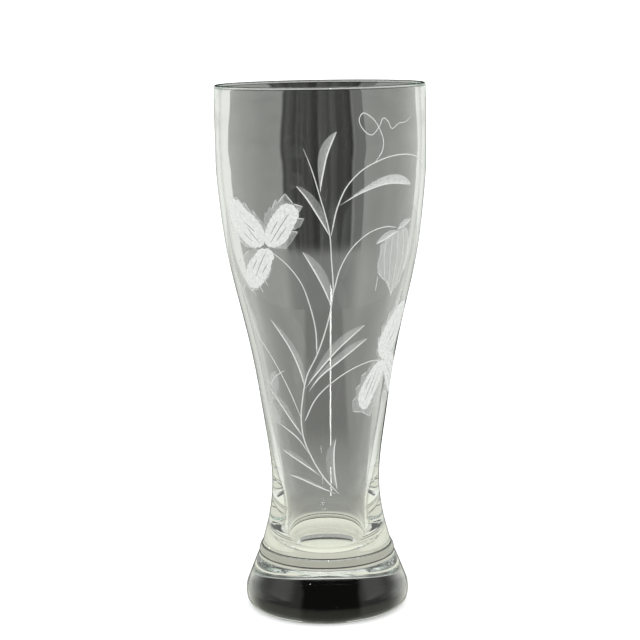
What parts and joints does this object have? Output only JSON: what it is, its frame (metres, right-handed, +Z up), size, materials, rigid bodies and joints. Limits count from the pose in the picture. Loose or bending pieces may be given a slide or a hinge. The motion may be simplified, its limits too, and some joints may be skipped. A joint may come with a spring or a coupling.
{
  "type": "pint glass",
  "caption": "Tall footed beer glass: a waisted clear bowl with an engraved plant spray, fused onto a heavy solid flared foot.",
  "frame": {"origin": "centre of the ring that the glass rests on, in the plane of the table", "axes": "+Z up along the axis of revolution, from the foot to the mouth; -Y faces the viewer who sees the front of the engraving"},
  "size_m": [0.0826, 0.0826, 0.21],
  "materials": {
    "clear_glass": "gloss",
    "foot_glass": "gloss",
    "engraving": "frosted, wheel-ground"
  },
  "bodies": {
    "root": {"bowl": "clear_glass", "foot": "foot_glass"}
  },
  "joints": []
}
